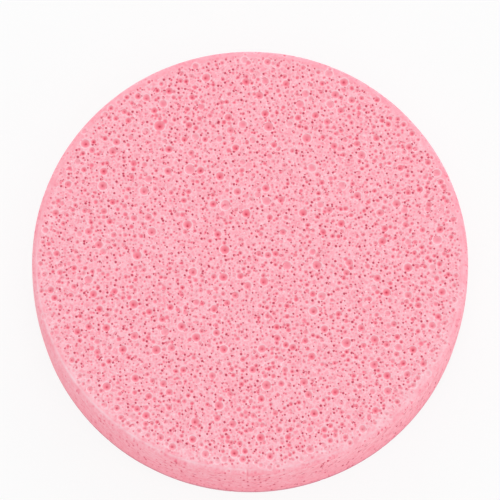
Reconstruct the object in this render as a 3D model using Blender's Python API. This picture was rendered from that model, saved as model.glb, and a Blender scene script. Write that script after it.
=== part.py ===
"""Round facial cleansing sponge: one disc cut from open-cell foam.

Metres, +Z up. The origin is the centre of the base face.
"""

import math
import random

import bpy
import bmesh

# Foam disc
DISC_DIAMETER = 0.080       # over the bowed wall
DISC_THICKNESS = 0.018
EDGE_RADIUS = 0.0012        # soft round between the wall and each face
WALL_BULGE = 0.0002         # how far the wall bows out at mid height
DISC_SEGMENTS = 96
EDGE_STEPS = 3
WALL_STEPS = 4

# Cells that the knife opened in the two faces
CELL_RADIUS = 0.0008        # mouth of a full-size cell
BOWL_DEPTH = 0.0007         # a full-size cell that was cut near its middle
DISH_DEPTH = 0.00035        # a full-size cell that was cut near its bottom
CELL_SEGMENTS = 7
BOWL_STEPS = 2
FLOOR_SHARE = 0.42          # flat floor of a cell, as a share of its mouth
CUT_OVERRUN = 0.0005        # how far every cutter stands out of the face

# Windows: the holes in a cell's floor that lead into the cell behind it
WINDOW_RADIUS = 0.00026
WINDOW_DEPTH = 0.0006
WINDOW_TAPER_SHARE = 0.75
WINDOW_DRIFT_SHARE = 0.35   # how far a window lies off its cell's centre
WINDOW_LEAST_SHARE = 0.86   # cells larger than this share of full size have one
WINDOW_SEED = 5

# Cells of the base face, spread evenly round a bare spot that it rests on
BASE_CELL_COUNT = 76
BASE_CELL_LEAST_SHARE = 0.65
BASE_DRIFT_SHARE = 0.3      # how far a cell strays, as a share of the cells' mean spacing
BASE_SPOT_RADIUS = 0.004
BASE_RIM_WIDTH = 0.0035
BASE_SEED = 11
DISHED_SHARE = 0.2          # share of the base cells that are shallow dishes

# Top face: places as shares of the disc's radius, sizes as shares of a full-size cell
BOWL_CELL_SHARES = (
    (-0.754, 0.548, 0.95), (-0.612, 0.556, 0.80), (-0.629, 0.512, 0.88), (-0.475, 0.766, 0.78),
    (-0.415, 0.633, 1.15), (-0.371, 0.798, 0.80), (-0.202, 0.862, 0.93), (-0.019, 0.842, 0.88),
    (-0.372, 0.521, 0.83), (-0.100, 0.673, 0.85), (-0.089, 0.612, 0.80), (0.043, 0.777, 0.90),
    (0.166, 0.834, 0.78), (0.086, 0.629, 1.03), (0.260, 0.573, 0.98), (0.391, 0.781, 0.88),
    (0.431, 0.839, 0.90), (0.467, 0.756, 0.78), (0.069, 0.691, 0.83), (0.354, 0.652, 0.78),
    (0.385, 0.537, 0.78), (0.729, 0.533, 0.75), (-0.669, 0.417, 0.83), (-0.673, 0.348, 0.98),
    (-0.887, 0.221, 0.78), (-0.735, 0.133, 0.83), (-0.689, 0.071, 0.85), (-0.514, 0.021, 0.98),
    (-0.529, 0.196, 0.78), (-0.483, 0.325, 0.95), (-0.375, 0.418, 0.80), (-0.227, 0.421, 0.80),
    (-0.137, 0.394, 0.93), (-0.058, 0.321, 0.85), (-0.169, 0.262, 0.80), (-0.017, 0.219, 0.93),
    (-0.463, 0.200, 0.78), (-0.448, 0.133, 0.95), (-0.284, 0.165, 0.95), (-0.148, 0.121, 0.80),
    (-0.115, 0.048, 1.00), (0.073, 0.337, 0.85), (0.142, 0.283, 0.78), (0.242, 0.221, 0.88),
    (0.362, 0.235, 0.80), (0.490, 0.302, 0.85), (0.415, 0.171, 0.85), (0.510, 0.494, 0.88),
    (0.669, 0.265, 0.88), (0.594, 0.221, 0.83), (0.604, 0.087, 0.88), (0.866, 0.142, 0.83),
    (-0.712, -0.160, 0.83), (-0.731, -0.312, 0.78), (-0.783, -0.335, 0.78), (-0.652, -0.317, 0.83),
    (-0.577, -0.417, 0.88), (-0.529, -0.208, 0.98), (-0.523, -0.354, 0.88), (-0.260, -0.056, 0.93),
    (-0.121, -0.081, 0.93), (-0.010, -0.121, 0.83), (-0.163, -0.229, 0.85), (-0.310, -0.310, 0.90),
    (-0.244, -0.362, 0.93), (-0.152, -0.340, 0.80), (-0.425, -0.419, 0.98), (-0.356, -0.410, 0.83),
    (-0.119, -0.417, 0.88), (0.063, -0.100, 0.93), (0.304, -0.025, 0.98), (0.452, -0.013, 0.83),
    (0.287, -0.238, 0.93), (0.337, -0.323, 0.83), (0.437, -0.387, 1.03), (0.123, -0.365, 0.78),
    (0.054, -0.415, 0.85), (0.194, -0.408, 0.78), (0.279, -0.450, 0.85), (0.719, -0.037, 0.93),
    (0.579, -0.085, 0.83), (0.621, -0.152, 0.90), (0.873, -0.150, 0.83), (0.719, -0.165, 0.78),
    (0.565, -0.371, 0.88), (0.739, -0.419, 0.83), (0.562, -0.489, 0.93), (0.785, -0.483, 0.78),
    (0.827, -0.306, 0.78), (0.504, -0.317, 0.78), (-0.648, -0.590, 0.90), (-0.519, -0.552, 0.83),
    (-0.392, -0.577, 0.78), (-0.365, -0.615, 0.78), (-0.470, -0.723, 0.83), (-0.247, -0.752, 0.93),
    (-0.140, -0.677, 0.95), (-0.171, -0.540, 0.78), (-0.079, -0.762, 0.83), (-0.404, -0.825, 0.78),
    (-0.259, -0.833, 0.83), (-0.350, -0.867, 0.78), (-0.202, -0.902, 0.80), (-0.071, -0.896, 0.88),
    (-0.033, -0.925, 0.78), (0.012, -0.512, 0.78), (0.074, -0.583, 0.98), (0.244, -0.569, 0.88),
    (0.385, -0.614, 0.85), (0.264, -0.627, 0.78), (0.050, -0.646, 0.78), (0.290, -0.714, 0.90),
    (0.048, -0.825, 0.93), (0.271, -0.879, 0.83), (0.090, -0.912, 0.78), (0.620, -0.539, 0.83),
    (0.623, -0.610, 0.83), (0.567, -0.700, 0.78), (0.508, -0.785, 0.78),
)
DISH_CELL_SHARES = (
    (-0.250, 0.581, 0.78), (-0.033, 0.639, 0.88), (-0.398, 0.738, 0.85), (-0.477, 0.604, 0.85),
    (0.229, 0.735, 0.90), (0.254, 0.785, 0.80), (0.362, 0.881, 0.85), (0.369, 0.735, 0.90),
    (-0.463, 0.381, 0.85), (-0.112, 0.258, 1.10), (-0.275, 0.427, 1.10), (0.075, 0.277, 0.93),
    (0.283, 0.433, 0.85), (0.421, 0.350, 0.90), (0.704, 0.233, 0.78), (0.854, 0.094, 0.95),
    (0.854, 0.410, 0.80), (-0.735, -0.092, 0.88), (-0.385, -0.335, 0.90), (0.169, -0.027, 0.95),
    (0.327, -0.170, 0.90), (0.673, -0.408, 0.78),
)

FOAM_COLOUR = (1.0, 0.46, 0.52, 1.0)
FOAM_ROUGHNESS = 0.9

DISC_RADIUS = DISC_DIAMETER / 2
GOLDEN_ANGLE = math.pi * (3 - math.sqrt(5))


def clear_scene():
    for old in list(bpy.data.objects):
        bpy.data.objects.remove(old)


def foam_material():
    material = bpy.data.materials.new("pink_foam")
    material.use_nodes = True
    surface = material.node_tree.nodes["Principled BSDF"]
    surface.inputs["Base Color"].default_value = FOAM_COLOUR
    surface.inputs["Roughness"].default_value = FOAM_ROUGHNESS
    surface.inputs["Metallic"].default_value = 0
    return material


def loft(bm, rings, segments):
    """Adds a closed shell through level circles, each (x, y, z, radius), the lowest first."""
    loops = []
    for x, y, z, radius in rings:
        turns = [2 * math.pi * i / segments for i in range(segments)]
        loops.append([bm.verts.new((x + radius * math.cos(t), y + radius * math.sin(t), z)) for t in turns])
    for low, high in zip(loops, loops[1:]):
        for i in range(segments):
            after = (i + 1) % segments
            bm.faces.new((low[i], low[after], high[after], high[i]))
    bm.faces.new(loops[0][::-1])
    bm.faces.new(loops[-1])


def mesh_object(name, bm):
    mesh = bpy.data.meshes.new(name)
    bm.to_mesh(mesh)
    bm.free()
    made = bpy.data.objects.new(name, mesh)
    bpy.context.collection.objects.link(made)
    return made


def wall_radius(z):
    """The wall bows out along a low arch that starts and ends at the edge rounds."""
    straight = DISC_THICKNESS - 2 * EDGE_RADIUS
    along = (z - EDGE_RADIUS) / straight
    return DISC_RADIUS - WALL_BULGE + WALL_BULGE * math.sin(math.pi * along)


def disc_rings():
    """Circles of the disc from the base up: edge round, bowed wall, edge round."""
    inset = wall_radius(EDGE_RADIUS) - EDGE_RADIUS
    arc = [math.pi / 2 * i / EDGE_STEPS for i in range(EDGE_STEPS)]
    lower = [(EDGE_RADIUS * (1 - math.cos(a)), inset + EDGE_RADIUS * math.sin(a)) for a in arc]
    straight = DISC_THICKNESS - 2 * EDGE_RADIUS
    levels = [EDGE_RADIUS + straight * i / WALL_STEPS for i in range(WALL_STEPS + 1)]
    wall = [(z, wall_radius(z)) for z in levels]
    upper = [(DISC_THICKNESS - z, radius) for z, radius in reversed(lower)]
    return [(0, 0, z, radius) for z, radius in lower + wall + upper]


def cell_rings(x, y, size, depth, window):
    """Circles of one opened bubble, floor first. The face lies at z = 0 and the foam below it.

    window is None, or how far the floor's hole lies off the cell's centre, as (x, y).
    """
    mouth = CELL_RADIUS * size
    deep = depth * size
    sphere = (mouth ** 2 + deep ** 2) / (2 * deep)
    floor = min(WINDOW_RADIUS, FLOOR_SHARE * mouth) if window else FLOOR_SHARE * mouth
    shift = window or (0, 0)
    start = math.atan2(mouth, sphere - deep)
    end = math.asin(floor / sphere)
    rings = [(x, y, CUT_OVERRUN, mouth), (x, y, 0, mouth)]
    for step in range(1, BOWL_STEPS + 1):
        share = step / BOWL_STEPS
        angle = start + (end - start) * share
        z = sphere * (1 - math.cos(angle)) - deep
        rings.append((x + shift[0] * share, y + shift[1] * share, z, sphere * math.sin(angle)))
    if window:
        low = rings[-1]
        rings.append((low[0], low[1], low[2] - WINDOW_DEPTH * size, low[3] * WINDOW_TAPER_SHARE))
    return rings[::-1]


def window_shift(mouth, chance):
    """Where in the floor the hole to the next cell lies."""
    turn = chance.uniform(0, 2 * math.pi)
    drift = WINDOW_DRIFT_SHARE * FLOOR_SHARE * mouth * chance.uniform(0, 1)
    return drift * math.cos(turn), drift * math.sin(turn)


def top_cells():
    """Bubbles of the top face, as (x, y, size, depth)."""
    bowls = [(x, y, size, BOWL_DEPTH) for x, y, size in BOWL_CELL_SHARES]
    dishes = [(x, y, size, DISH_DEPTH) for x, y, size in DISH_CELL_SHARES]
    return [(x * DISC_RADIUS, y * DISC_RADIUS, size, depth) for x, y, size, depth in bowls + dishes]


def base_cells():
    """Bubbles of the base face, on a loosened sunflower spiral between the bare spot and the rim."""
    chance = random.Random(BASE_SEED)
    reach = DISC_RADIUS - EDGE_RADIUS - BASE_RIM_WIDTH
    spread = reach ** 2 - BASE_SPOT_RADIUS ** 2
    drift = BASE_DRIFT_SHARE * math.sqrt(math.pi * spread / BASE_CELL_COUNT)
    cells = []
    for i in range(BASE_CELL_COUNT):
        filled = (i + 0.5) / BASE_CELL_COUNT
        radius = math.sqrt(BASE_SPOT_RADIUS ** 2 + spread * filled)
        radius += drift * chance.uniform(0, 1) * (1 - filled)
        turn = i * GOLDEN_ANGLE + drift * chance.uniform(-1, 1) / radius
        size = chance.uniform(BASE_CELL_LEAST_SHARE, 1)
        depth = DISH_DEPTH if chance.random() < DISHED_SHARE else BOWL_DEPTH
        cells.append((radius * math.cos(turn), radius * math.sin(turn), size, depth))
    return cells


def cell_cutter(name, cells, is_top):
    """One guide object that holds every bubble of a face, with that face at z = 0.

    The foam lies below it for the top, whose large cells have windows, and above it for the base.
    """
    chance = random.Random(WINDOW_SEED)
    bm = bmesh.new()
    for x, y, size, depth in cells:
        shift = window_shift(CELL_RADIUS * size, chance)
        holed = is_top and depth == BOWL_DEPTH and size > WINDOW_LEAST_SHARE
        rings = cell_rings(x, y, size, depth, shift if holed else None)
        if not is_top:
            rings = [(x, y, -z, radius) for x, y, z, radius in reversed(rings)]
        loft(bm, rings, CELL_SEGMENTS)
    cutter = mesh_object(name, bm)
    cutter.hide_render = True
    cutter.display_type = "WIRE"
    return cutter


def open_cells(disc, cutter):
    cut = disc.modifiers.new(cutter.name, "BOOLEAN")
    cut.operation = "DIFFERENCE"
    cut.solver = "EXACT"
    cut.use_self = True
    cut.object = cutter


def build_sponge():
    bm = bmesh.new()
    loft(bm, disc_rings(), DISC_SEGMENTS)
    disc = mesh_object("sponge_disc", bm)
    disc.data.materials.append(foam_material())
    disc.data.shade_smooth()
    disc.data.set_sharp_from_angle(angle=math.radians(40))

    top = cell_cutter("top_cells", top_cells(), is_top=True)
    top.location.z = DISC_THICKNESS
    base = cell_cutter("base_cells", base_cells(), is_top=False)
    open_cells(disc, top)
    open_cells(disc, base)
    return disc


clear_scene()
build_sponge()
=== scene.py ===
import math
import random

import bpy
import numpy as np
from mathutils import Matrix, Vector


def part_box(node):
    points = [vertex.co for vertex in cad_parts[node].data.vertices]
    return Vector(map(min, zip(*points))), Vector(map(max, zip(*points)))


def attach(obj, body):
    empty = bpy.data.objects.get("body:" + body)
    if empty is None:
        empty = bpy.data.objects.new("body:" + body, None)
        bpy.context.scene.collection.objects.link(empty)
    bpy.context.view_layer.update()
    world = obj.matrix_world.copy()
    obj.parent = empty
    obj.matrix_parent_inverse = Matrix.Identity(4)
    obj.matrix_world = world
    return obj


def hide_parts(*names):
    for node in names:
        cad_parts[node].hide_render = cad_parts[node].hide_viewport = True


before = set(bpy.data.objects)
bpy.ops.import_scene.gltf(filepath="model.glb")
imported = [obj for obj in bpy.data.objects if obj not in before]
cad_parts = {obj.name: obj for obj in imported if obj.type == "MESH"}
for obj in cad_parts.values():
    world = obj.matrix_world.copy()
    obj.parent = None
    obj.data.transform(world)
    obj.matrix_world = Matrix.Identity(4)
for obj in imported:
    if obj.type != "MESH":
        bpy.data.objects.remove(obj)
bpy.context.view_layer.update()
print("frame loaded")

# Helpers for meshes


def addObject(name, data):
    made = bpy.data.objects.new(name, data)
    bpy.context.scene.collection.objects.link(made)
    return made


def markPoints(mesh, name, values):
    # Keeps a number or a vector at each point
    kind, label = ("FLOAT", "value") if values.ndim == 1 else ("FLOAT_VECTOR", "vector")
    mesh.attributes.new(name, kind, "POINT").data.foreach_set(label, values.ravel().astype(np.float32))


# Helpers for nodes. A value is a number, a colour, a vector or another node's socket


def put(tree, idName, inputs=None, **settings):
    node = tree.nodes.new(idName)
    for name, value in settings.items():
        setattr(node, name, value)
    for key, value in (inputs or {}).items():
        socket = node.inputs[key]
        if isinstance(value, bpy.types.NodeSocket):
            tree.links.new(value, socket)
        else:
            socket.default_value = value
    return node


def calc(tree, operation, *values, clamp=False):
    node = put(tree, "ShaderNodeMath", dict(enumerate(values)), operation=operation, use_clamp=clamp)
    return node.outputs[0]


def times(tree, *values):
    total = values[0]
    for value in values[1:]:
        total = calc(tree, "MULTIPLY", total, value)
    return total


def oneMinus(tree, value, clamp=False):
    return calc(tree, "SUBTRACT", 1.0, value, clamp=clamp)


def raised(tree, value, least):
    # A share that runs from least to 1, in place of 0 to 1
    return calc(tree, "ADD", times(tree, value, 1 - least), least)


def vcalc(tree, operation, *values):
    node = put(tree, "ShaderNodeVectorMath", dict(enumerate(values)), operation=operation)
    return node.outputs["Value" if operation in ("LENGTH", "DOT_PRODUCT") else "Vector"]


def scaled(tree, vector, factor):
    return put(tree, "ShaderNodeVectorMath", {0: vector, "Scale": factor}, operation="SCALE").outputs[0]


def noise(tree, where, scale, detail, roughness=0.5):
    inputs = {"Vector": where, "Scale": scale, "Detail": detail, "Roughness": roughness}
    return put(tree, "ShaderNodeTexNoise", inputs).outputs


def floats(*names):
    return {name: "Float" for name in names}


def newTree(name, kind, takes, gives):
    tree = bpy.data.node_groups.new(name, kind)
    for direction, sockets in (("INPUT", takes), ("OUTPUT", gives)):
        for label, sort in sockets.items():
            tree.interface.new_socket(name=label, in_out=direction, socket_type="NodeSocket" + sort)
    return tree, tree.nodes.new("NodeGroupInput").outputs, tree.nodes.new("NodeGroupOutput")


def giveOut(tree, result, found):
    for name, value in found.items():
        tree.links.new(value, result.inputs[name])
    return tree


def callGroup(tree, group, inputs):
    return put(tree, tree.bl_idname.replace("Tree", "Group"), inputs, node_tree=group).outputs


# The bare skin of the disc, a fine mesh in the shape of the solid

spongeDisc = {
    "edgeRadius": 0.0012,
    "wallBulge": 0.0002,
    "topStep": 0.00013,     # spacing of the mesh points
    "wallStep": 0.00015,
    "baseStep": 0.00018,
    "leastPoints": 6,       # in the smallest ring
    "quickFactor": 1.7,
    "bareRim": 0.0008,      # cells thin out over this band inside the edge round
    "paleRim": 0.003,       # the face turns paler over this band
    "palePower": 3,         # how far the paler band reaches over the round
    "creaseShift": 0.0001,  # the painted highlight, a pale line along the edge, from the start of the round
    "creaseWidth": 0.00032,
    "farRimShare": 0.15,    # how much of the band and line the far side has
    "nickX": -0.0005,       # a short nick under the near edge, with painted shade in it and a painted highlight beside it
    "nickWidth": 0.00026,
    "nickLength": 0.0055,
    "nickRise": 3,          # how soon the nick sets in on the round
}

# Where the skin's three charts lie on the map that colours are baked to, as shares of the map
bakeMap = {
    "faceRadius": 0.24,
    "topMiddle": (0.25, 0.72),
    "baseMiddle": (0.75, 0.72),
    "wallStart": (0.005, 0.05),
    "wallSize": (0.94, 4.0),  # once round the disc, and for each metre down the wall
}

low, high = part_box("sponge_disc")
discRadius = (high.x - low.x) / 2
discHeight = high.z - low.z


def wallRadius(z):
    along = (z - spongeDisc["edgeRadius"]) / (discHeight - 2 * spongeDisc["edgeRadius"])
    return discRadius - spongeDisc["wallBulge"] * (1 - np.sin(np.pi * along))


def skinProfile(coarse):
    # Rows from the top's centre to the base's: radius, height, share that faces sideways, spacing, chart
    edge, quarter = spongeDisc["edgeRadius"], math.pi / 2
    flat = wallRadius(edge) - edge
    straight = discHeight - 2 * edge
    topStep, wallStep, baseStep = (spongeDisc[key] * coarse for key in ("topStep", "wallStep", "baseStep"))

    def topFace(share):
        return flat * share, discHeight, 0

    def upperRound(share):
        lean = math.sin(share * quarter)
        return flat + edge * lean, discHeight - edge * (1 - math.cos(share * quarter)), lean

    def wall(share):
        z = discHeight - edge - straight * share
        return wallRadius(z), z, 1

    def lowerRound(share):
        lean = math.cos(share * quarter)
        return flat + edge * lean, edge * (1 - math.sin(share * quarter)), lean

    def baseFace(share):
        return flat * (1 - share), 0, 0

    arc = edge * quarter
    runs = ((topFace, flat, topStep, 0), (upperRound, arc, wallStep, 1), (wall, straight, wallStep, 1),
            (lowerRound, arc, wallStep, 1), (baseFace, flat, baseStep, 2))
    rows = [(*topFace(0), topStep, 0)]
    for follow, length, step, chart in runs:
        count = round(length / step)
        rows += [(*follow(i / count), step, chart) for i in range(1, count + 1)]
    return rows


def stitch(startA, countA, startB, countB):
    # Triangles between two rings, whose edges are taken in turn by the angle of their middles
    middleA = (np.arange(countA) + 0.5) / countA
    middleB = (np.arange(countB) + 0.5) / countB
    parts = []
    if countA > 1:
        i = np.arange(countA)
        j = np.searchsorted(middleB, middleA, side="left") % countB
        parts.append(np.stack((startA + i, startB + j, startA + (i + 1) % countA), 1))
    if countB > 1:
        j = np.arange(countB)
        i = np.searchsorted(middleA, middleB, side="right") % countA
        parts.append(np.stack((startA + i, startB + j, startB + (j + 1) % countB), 1))
    return np.concatenate(parts)


def skinRings():
    # Points with the share that faces sideways, triangles, charts, and the way down the wall
    rings, triangles, charts, travel = [], [], [], []
    start, length, before = 0, 0, None
    for radius, height, side, step, chart in skinProfile(1):
        count = max(spongeDisc["leastPoints"], round(2 * math.pi * radius / step))
        if radius < step / 2:
            count = 1
        turn = 2 * math.pi * np.arange(count) / count
        level = np.full(count, height), np.full(count, side)
        rings.append(np.stack((radius * np.cos(turn), radius * np.sin(turn), *level), 1))
        if before:
            found = stitch(before[0], before[1], start, count)
            triangles.append(found)
            charts.append(np.full(len(found), chart))
            length += math.hypot(radius - before[2], height - before[3]) if chart == 1 else 0
        travel.append(np.full(count, length))
        before = (start, count, radius, height)
        start += count
    return (np.concatenate(part) for part in (rings, triangles, charts, travel))


def chartPlaces(chart, points, travel, corners):
    # Where a triangle's corners lie on the map: two round charts above a long strip for the wall
    x, y = points[corners, 0], points[corners, 1]
    turn = (np.arctan2(y, x) / (2 * np.pi)) % 1
    overSeam = turn.max(1) - turn.min(1) > 0.5
    turn = np.where(overSeam[:, None] & (turn < 0.5), turn + 1, turn)
    wall = np.stack((turn, travel[corners]), -1) * bakeMap["wallSize"] + bakeMap["wallStart"]
    face = np.stack((x, y), -1) * (bakeMap["faceRadius"] / discRadius)
    top, base = face + bakeMap["topMiddle"], face * (-1, 1) + bakeMap["baseMiddle"]
    return np.where((chart == 0)[:, None, None], top, np.where((chart == 1)[:, None, None], wall, base))


def markSkin(skin, points):
    # What the trees read at each point: face, wall, crease's painted highlight and paler band along the edge,
    # and nick
    x, y, z, side = points.T
    across = np.hypot(x, y)
    roundStart = discRadius - spongeDisc["edgeRadius"]
    inside = (roundStart - across) / spongeDisc["bareRim"]
    offCrease = np.abs(across - (roundStart + spongeDisc["creaseShift"]))
    nearby = np.clip(0.5 - y / discRadius, spongeDisc["farRimShare"], 1)
    rim = np.clip(1 - offCrease / spongeDisc["paleRim"], 0, 1) * (1 - side ** spongeDisc["palePower"])
    markPoints(skin, "faceShare", np.clip(inside, 0, 1) * (side < 0.01))
    markPoints(skin, "wallShare", side)
    markPoints(skin, "crease", np.clip(1 - offCrease / spongeDisc["creaseWidth"], 0, 1) * nearby)
    markPoints(skin, "rimShare", rim * nearby)
    below = np.clip(1 - (discHeight - z) / spongeDisc["nickLength"], 0, 1) * (y < 0)
    # The nick's painted shade, and its pale lip beside it as a painted highlight
    for name, shift in (("nick", 0), ("nickLip", spongeDisc["nickWidth"])):
        beside = 1 - np.abs(x - spongeDisc["nickX"] + shift) / spongeDisc["nickWidth"]
        onRound = np.clip(side * spongeDisc["nickRise"], 0, 1)
        markPoints(skin, name, np.clip(beside, 0, 1) * np.sqrt(below) * onRound)


def makeSkin():
    points, corners, chart, travel = skinRings()
    skin = bpy.data.meshes.new("foam_skin")
    skin.vertices.add(len(points))
    skin.loops.add(corners.size)
    skin.polygons.add(len(corners))
    skin.vertices.foreach_set("co", points[:, :3].ravel().astype(np.float32))
    skin.loops.foreach_set("vertex_index", corners.ravel().astype(np.int32))
    skin.polygons.foreach_set("loop_start", np.arange(0, corners.size, 3, dtype=np.int32))
    skin.update(calc_edges=True)
    skin.shade_smooth()
    places = chartPlaces(chart, points, travel, corners)
    skin.uv_layers.new(name="OFBake").data.foreach_set("uv", places.ravel().astype(np.float32))
    markSkin(skin, points)
    skin.update()
    print("skin of", len(corners), "triangles")
    return addObject("sponge", skin)


# Cells seen in the photograph: x and y as shares of the disc's radius, size as one of a full-size cell

bowlCellShares = (
    (-0.754, 0.548, 0.95), (-0.612, 0.556, 0.8), (-0.629, 0.512, 0.88), (-0.475, 0.766, 0.78),
    (-0.415, 0.633, 1.15), (-0.371, 0.798, 0.8), (-0.202, 0.862, 0.93), (-0.019, 0.842, 0.88),
    (-0.372, 0.521, 0.83), (-0.1, 0.673, 0.85), (-0.089, 0.612, 0.8), (0.043, 0.777, 0.9),
    (0.166, 0.834, 0.78), (0.086, 0.629, 1.03), (0.26, 0.573, 0.98), (0.391, 0.781, 0.88),
    (0.431, 0.839, 0.9), (0.467, 0.756, 0.78), (0.069, 0.691, 0.83), (0.354, 0.652, 0.78),
    (0.385, 0.537, 0.78), (0.729, 0.533, 0.75), (-0.669, 0.417, 0.83), (-0.673, 0.348, 0.98),
    (-0.887, 0.221, 0.78), (-0.735, 0.133, 0.83), (-0.689, 0.071, 0.85), (-0.514, 0.021, 0.98),
    (-0.529, 0.196, 0.78), (-0.483, 0.325, 0.95), (-0.375, 0.418, 0.8), (-0.227, 0.421, 0.8),
    (-0.137, 0.394, 0.93), (-0.058, 0.321, 0.85), (-0.169, 0.262, 0.8), (-0.017, 0.219, 0.93),
    (-0.463, 0.2, 0.78), (-0.448, 0.133, 0.95), (-0.284, 0.165, 0.95), (-0.148, 0.121, 0.8),
    (-0.115, 0.048, 1.0), (0.073, 0.337, 0.85), (0.142, 0.283, 0.78), (0.242, 0.221, 0.88),
    (0.362, 0.235, 0.8), (0.49, 0.302, 0.85), (0.415, 0.171, 0.85), (0.51, 0.494, 0.88),
    (0.669, 0.265, 0.88), (0.594, 0.221, 0.83), (0.604, 0.087, 0.88), (0.866, 0.142, 0.83),
    (-0.712, -0.16, 0.83), (-0.731, -0.312, 0.78), (-0.783, -0.335, 0.78), (-0.652, -0.317, 0.83),
    (-0.577, -0.417, 0.88), (-0.529, -0.208, 0.98), (-0.523, -0.354, 0.88), (-0.26, -0.056, 0.93),
    (-0.121, -0.081, 0.93), (-0.01, -0.121, 0.83), (-0.163, -0.229, 0.85), (-0.31, -0.31, 0.9),
    (-0.244, -0.362, 0.93), (-0.152, -0.34, 0.8), (-0.425, -0.419, 0.98), (-0.356, -0.41, 0.83),
    (-0.119, -0.417, 0.88), (0.063, -0.1, 0.93), (0.304, -0.025, 0.98), (0.452, -0.013, 0.83),
    (0.287, -0.238, 0.93), (0.337, -0.323, 0.83), (0.437, -0.387, 1.03), (0.123, -0.365, 0.78),
    (0.054, -0.415, 0.85), (0.194, -0.408, 0.78), (0.279, -0.45, 0.85), (0.719, -0.037, 0.93),
    (0.579, -0.085, 0.83), (0.621, -0.152, 0.9), (0.873, -0.15, 0.83), (0.719, -0.165, 0.78),
    (0.565, -0.371, 0.88), (0.739, -0.419, 0.83), (0.562, -0.489, 0.93), (0.785, -0.483, 0.78),
    (0.827, -0.306, 0.78), (0.504, -0.317, 0.78), (-0.648, -0.59, 0.9), (-0.519, -0.552, 0.83),
    (-0.392, -0.577, 0.78), (-0.365, -0.615, 0.78), (-0.47, -0.723, 0.83), (-0.247, -0.752, 0.93),
    (-0.14, -0.677, 0.95), (-0.171, -0.54, 0.78), (-0.079, -0.762, 0.83), (-0.404, -0.825, 0.78),
    (-0.259, -0.833, 0.83), (-0.35, -0.867, 0.78), (-0.202, -0.902, 0.8), (-0.071, -0.896, 0.88),
    (-0.033, -0.925, 0.78), (0.012, -0.512, 0.78), (0.074, -0.583, 0.98), (0.244, -0.569, 0.88),
    (0.385, -0.614, 0.85), (0.264, -0.627, 0.78), (0.05, -0.646, 0.78), (0.29, -0.714, 0.9),
    (0.048, -0.825, 0.93), (0.271, -0.879, 0.83), (0.09, -0.912, 0.78), (0.62, -0.539, 0.83),
    (0.623, -0.61, 0.83), (0.567, -0.7, 0.78), (0.508, -0.785, 0.78),
)
dishCellShares = (
    (-0.25, 0.581, 0.78), (-0.033, 0.639, 0.88), (-0.398, 0.738, 0.85), (-0.477, 0.604, 0.85),
    (0.229, 0.735, 0.9), (0.254, 0.785, 0.8), (0.362, 0.881, 0.85), (0.369, 0.735, 0.9),
    (-0.463, 0.381, 0.85), (-0.112, 0.258, 1.1), (-0.275, 0.427, 1.1), (0.075, 0.277, 0.93),
    (0.283, 0.433, 0.85), (0.421, 0.35, 0.9), (0.704, 0.233, 0.78), (0.854, 0.094, 0.95),
    (0.854, 0.41, 0.8), (-0.735, -0.092, 0.88), (-0.385, -0.335, 0.9), (0.169, -0.027, 0.95),
    (0.327, -0.17, 0.9), (0.673, -0.408, 0.78),
)
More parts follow.
